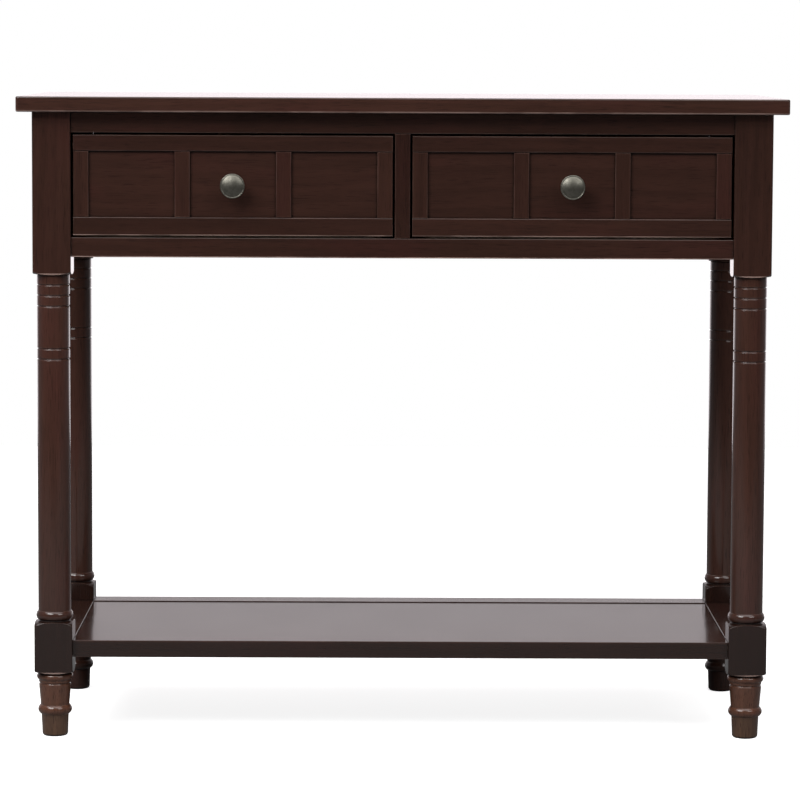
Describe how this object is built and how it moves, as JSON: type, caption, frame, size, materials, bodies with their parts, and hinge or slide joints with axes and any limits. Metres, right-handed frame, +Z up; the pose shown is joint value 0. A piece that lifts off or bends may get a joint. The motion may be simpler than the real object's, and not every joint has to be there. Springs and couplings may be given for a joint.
{
  "type": "console table",
  "caption": "Console table with side-by-side panelled drawers, turned legs and a low framed shelf.",
  "frame": {"origin": "On the floor, under the middle of the tabletop.", "axes": "+X to the right along the table's length, +Y from the drawers' side to the back, +Z up."},
  "size_m": [0.9, 0.4, 0.757],
  "materials": {
    "espresso_wood": "dark espresso stain with a red-brown cast under semi-gloss lacquer",
    "inner_wood": "plain hardwood with a thin sealer, where only an open drawer shows it",
    "plywood": "sealed birch plywood",
    "pewter": "polished antique pewter, dark grey-green",
    "zinc_steel": "bright zinc plating"
  },
  "bodies": {
    "frame": {"drawer_partition": "inner_wood", "front_bottom_rail": "espresso_wood", "front_divider": "espresso_wood", "front_left_leg": "espresso_wood", "front_right_leg": "espresso_wood", "front_top_rail": "espresso_wood", "left_apron": "espresso_wood", "left_inner_runner": "inner_wood", "left_kicker": "inner_wood", "left_outer_runner": "inner_wood", "rear_apron": "espresso_wood", "rear_left_corner_block": "inner_wood", "rear_left_corner_bolt": "zinc_steel", "rear_left_leg": "espresso_wood", "rear_right_corner_block": "inner_wood", "rear_right_corner_bolt": "zinc_steel", "rear_right_leg": "espresso_wood", "right_apron": "espresso_wood", "right_inner_runner": "inner_wood", "right_kicker": "inner_wood", "right_outer_runner": "inner_wood", "shelf_board": "espresso_wood", "shelf_front_rail": "espresso_wood", "shelf_left_rail": "espresso_wood", "shelf_rear_rail": "espresso_wood", "shelf_right_rail": "espresso_wood", "tabletop": "espresso_wood"},
    "left_drawer": {"left_drawer_back": "inner_wood", "left_drawer_face_bottom_rail": "espresso_wood", "left_drawer_face_left_mullion": "espresso_wood", "left_drawer_face_left_stile": "espresso_wood", "left_drawer_face_right_mullion": "espresso_wood", "left_drawer_face_right_stile": "espresso_wood", "left_drawer_face_top_rail": "espresso_wood", "left_drawer_floor": "plywood", "left_drawer_front_panel": "espresso_wood", "left_drawer_knob": "pewter", "left_drawer_knob_screw": "zinc_steel", "left_drawer_left_side": "inner_wood", "left_drawer_right_side": "inner_wood", "left_drawer_stop": "inner_wood"},
    "right_drawer": {"right_drawer_back": "inner_wood", "right_drawer_face_bottom_rail": "espresso_wood", "right_drawer_face_left_mullion": "espresso_wood", "right_drawer_face_left_stile": "espresso_wood", "right_drawer_face_right_mullion": "espresso_wood", "right_drawer_face_right_stile": "espresso_wood", "right_drawer_face_top_rail": "espresso_wood", "right_drawer_floor": "plywood", "right_drawer_front_panel": "espresso_wood", "right_drawer_knob": "pewter", "right_drawer_knob_screw": "zinc_steel", "right_drawer_left_side": "inner_wood", "right_drawer_right_side": "inner_wood", "right_drawer_stop": "inner_wood"}
  },
  "joints": [
    {"name": "left_drawer_slide", "type": "slide", "parent": "frame", "child": "left_drawer", "axis": [0, -1, 0], "range_m": [0, 0.25]},
    {"name": "right_drawer_slide", "type": "slide", "parent": "frame", "child": "right_drawer", "axis": [0, -1, 0], "range_m": [0, 0.25]}
  ]
}
